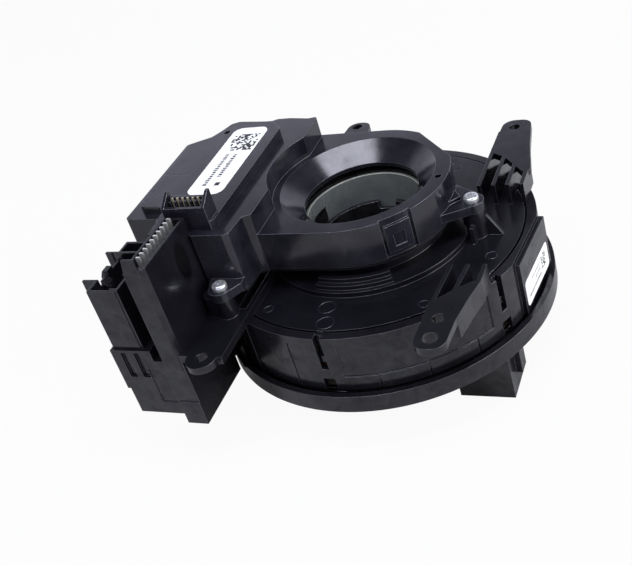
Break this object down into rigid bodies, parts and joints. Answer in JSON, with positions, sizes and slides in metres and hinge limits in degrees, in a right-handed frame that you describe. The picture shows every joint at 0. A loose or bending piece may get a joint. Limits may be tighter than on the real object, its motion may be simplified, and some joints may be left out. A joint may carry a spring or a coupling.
{
  "type": "steering clock spring",
  "caption": "Round cable drum for a steering column with a turning hub, plug sockets, screw arms and a raised angle sensor housing with a funnel round the shaft opening.",
  "frame": {"origin": "on the steering axis, level with the top face of the drum cover", "axes": "+Z along the steering axis towards the sensor housing on the column side, +X away from the column plugs and along the flat of the sensor box, +Y completes a right-handed frame"},
  "size_m": [0.1397, 0.1501, 0.0914],
  "materials": {
    "drum_black": "moulded, low gloss",
    "cover_black": "moulded, satin",
    "plug_black": "moulded, satin",
    "sensor_grey": "moulded, satin, bluish dark grey",
    "hub_black": "moulded, gloss",
    "sleeve_grey": "moulded, smooth",
    "nylon_white": "natural, moulded",
    "slide_film": "smooth film",
    "ribbon_film": "clear film over copper tracks",
    "plug_yellow": "moulded, satin",
    "tin": "tin plate",
    "gold_pin": "thin gold plate",
    "zinc_steel": "zinc plate",
    "board_green": "solder resist",
    "chip_black": "moulded resin",
    "magnet_grey": "nickel plate",
    "label_white": "printed film"
  },
  "bodies": {
    "column_side": {"drum_housing": "drum_black", "plug_tower": "drum_black", "drum_cover": "cover_black", "blade_pocket": "cover_black", "column_plug_shell": "plug_black", "column_plug_pins": "tin", "blade_terminals": "tin", "sensor_housing": "sensor_grey", "sensor_lid": "sensor_grey", "comb_pins": "gold_pin", "sensor_base": "plug_black", "sensor_board": "board_green", "sensor_chips": "chip_black", "housing_screws": "zinc_steel", "box_label": "label_white", "drum_label": "label_white", "ribbon_cable": "ribbon_film", "outer_ribbon_block": "nylon_white"},
    "wheel_side": {"rotor_disc": "drum_black", "rotor_tube": "hub_black", "bore_sleeve": "sleeve_grey", "rotor_hub": "hub_black", "drive_gear": "hub_black", "slide_ring": "slide_film", "inner_ribbon_block": "nylon_white", "wheel_plug_shell": "plug_black", "wheel_plug_pins": "tin", "airbag_plug_shell": "plug_yellow", "airbag_plug_pins": "tin"},
    "gear_a": {"measuring_gear_a": "nylon_white", "gear_magnet_a": "magnet_grey"},
    "gear_b": {"measuring_gear_b": "nylon_white", "gear_magnet_b": "magnet_grey"}
  },
  "joints": [
    {"name": "rotor_turn", "type": "hinge", "parent": "column_side", "child": "wheel_side", "pos_m": [0, 0, 0], "axis": [0, 0, 1], "range_deg": [-900, 900]},
    {"name": "gear_a_turn", "type": "hinge", "parent": "column_side", "child": "gear_a", "pos_m": [-0.03562, 0.01512, 0.0102], "axis": [0, 0, 1], "range_deg": [-2100, 2100]},
    {"name": "gear_b_turn", "type": "hinge", "parent": "column_side", "child": "gear_b", "pos_m": [-0.0348, -0.01477, 0.0102], "axis": [0, 0, 1], "range_deg": [-2300, 2300]}
  ],
  "couplings": [
    {"joint": "gear_a_turn", "follows": "rotor_turn", "ratio": -2.3077},
    {"joint": "gear_b_turn", "follows": "rotor_turn", "ratio": -2.5}
  ]
}
